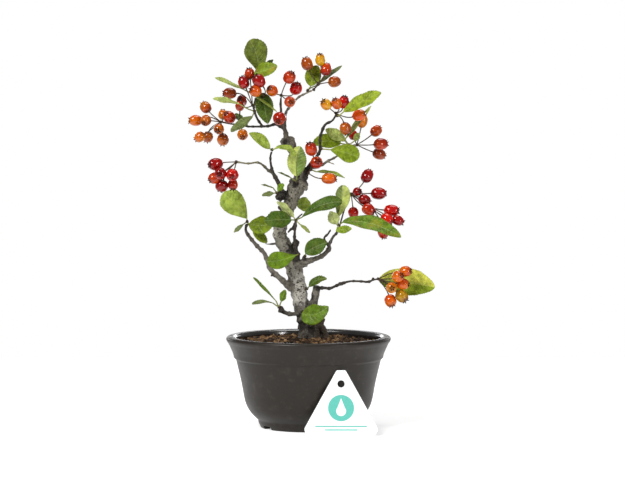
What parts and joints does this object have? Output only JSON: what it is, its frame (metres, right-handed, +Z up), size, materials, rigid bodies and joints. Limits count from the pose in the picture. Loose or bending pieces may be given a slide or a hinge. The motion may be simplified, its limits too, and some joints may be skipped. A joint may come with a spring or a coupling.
{
  "type": "oriental photinia bonsai",
  "caption": "Small broadleaf bonsai tree with a winding trunk, toothed leaves and red and orange berries, in a round training pot of granular soil with a plain card tag.",
  "frame": {"origin": "on the ground below the middle of the pot", "axes": "+Z up, -Y towards the front of the plant, +X to the right seen from the front"},
  "size_m": [0.1848, 0.1236, 0.2909],
  "materials": {
    "pot": "satin dark brown-grey plastic",
    "soil": "fired clay granules, matt",
    "tag": "coated white card",
    "bark": "grey bark with dark patches",
    "leaf": "leathery green leaf, half gloss",
    "pale_leaf": "pale green leaf, matt underside",
    "berry": "glossy red fruit",
    "orange_berry": "glossy orange fruit"
  },
  "bodies": {
    "root": {"pot": "pot", "soil": "soil", "tag": "tag", "trunk": "bark", "leaves_top": "leaf", "leaves_upper_left": "leaf", "leaf_upper_left_small": "leaf", "leaves_left_fork": "pale_leaf", "leaves_trunk_top": "pale_leaf", "leaf_centre_right": "leaf", "leaves_top_right": "leaf", "leaf_right_long": "leaf", "leaves_right_upper": "leaf", "leaf_right_front": "leaf", "leaves_left_knob": "leaf", "leaves_middle": "leaf", "leaf_behind_trunk": "leaf", "leaves_left": "pale_leaf", "leaf_front_middle": "leaf", "leaf_right_round": "leaf", "leaves_right": "leaf", "leaves_low_left": "leaf", "leaf_low_right": "leaf", "leaf_low_front": "leaf", "leaf_right_end": "leaf", "berries_top_left": "berry", "berries_left": "orange_berry", "berries_top_centre": "berry", "berries_top_right": "orange_berry", "berries_right_upper": "berry", "berries_right": "berry", "berries_centre": "berry", "berries_left_lower": "berry", "berries_right_middle": "berry", "berries_right_end": "orange_berry"}
  },
  "joints": []
}
